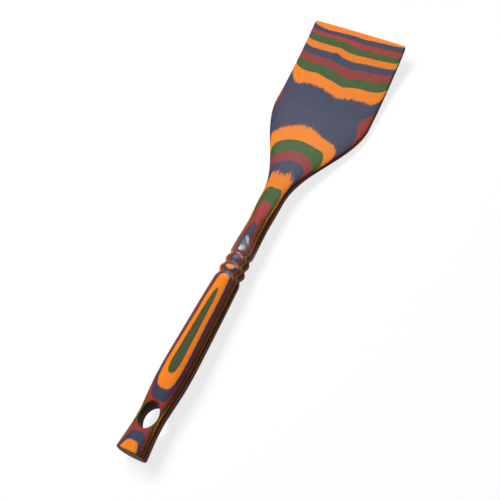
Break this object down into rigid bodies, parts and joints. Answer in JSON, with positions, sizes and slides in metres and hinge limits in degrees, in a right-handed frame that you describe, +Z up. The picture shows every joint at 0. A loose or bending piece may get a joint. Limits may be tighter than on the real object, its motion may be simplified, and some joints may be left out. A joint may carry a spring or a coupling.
{
  "type": "spatula",
  "caption": "Kitchen spatula carved from one block of dyed wood veneers, with a hanging hole, turned beads at the neck and a blade that curves up to a thin tip.",
  "frame": {"origin": "under the middle of the box, on the table that the spatula lies on", "axes": "+X along the spatula from the butt of the handle to the tip of the blade, +Z up, +Y to the left when looking from the butt to the tip"},
  "size_m": [0.3052, 0.0644, 0.0193],
  "materials": {
    "green_veneer": "dyed right through, clear satin lacquer",
    "orange_veneer": "dyed right through, clear satin lacquer",
    "navy_veneer": "dyed right through, clear satin lacquer",
    "red_veneer": "dyed right through, clear satin lacquer"
  },
  "bodies": {
    "root": {"ply_01_green_grip": "green_veneer", "ply_02_orange_bead": "orange_veneer", "ply_02_orange_butt": "orange_veneer", "ply_02_orange_grip": "orange_veneer", "ply_02_orange_tip": "orange_veneer", "ply_03_navy_butt": "navy_veneer", "ply_03_navy_grip": "navy_veneer", "ply_03_navy_neck": "navy_veneer", "ply_03_navy_tip": "navy_veneer", "ply_04_red_butt": "red_veneer", "ply_04_red_grip": "red_veneer", "ply_04_red_tip": "red_veneer", "ply_05_green_full": "green_veneer", "ply_05_green_tip": "green_veneer", "ply_06_orange_full": "orange_veneer", "ply_06_orange_tip": "orange_veneer", "ply_07_navy_full": "navy_veneer", "ply_07_navy_tip": "navy_veneer", "ply_08_red_full": "red_veneer", "ply_08_red_tip": "red_veneer", "ply_09_green_full": "green_veneer", "ply_09_green_tip": "green_veneer", "ply_10_orange_blade": "orange_veneer", "ply_10_orange_full": "orange_veneer", "ply_11_navy_full": "navy_veneer", "ply_12_red_full": "red_veneer", "ply_13_green_full": "green_veneer", "ply_14_orange_full": "orange_veneer", "ply_15_navy_blade": "navy_veneer", "ply_15_navy_full": "navy_veneer", "ply_16_red_blade": "red_veneer", "ply_16_red_full": "red_veneer", "ply_17_green_blade": "green_veneer", "ply_17_green_full": "green_veneer", "ply_18_orange_bead": "orange_veneer", "ply_18_orange_butt": "orange_veneer", "ply_18_orange_grip": "orange_veneer", "ply_18_orange_neck": "orange_veneer", "ply_19_navy_bead": "navy_veneer", "ply_19_navy_butt": "navy_veneer", "ply_19_navy_grip": "navy_veneer", "ply_20_red_butt": "red_veneer", "ply_20_red_grip": "red_veneer"}
  },
  "joints": []
}
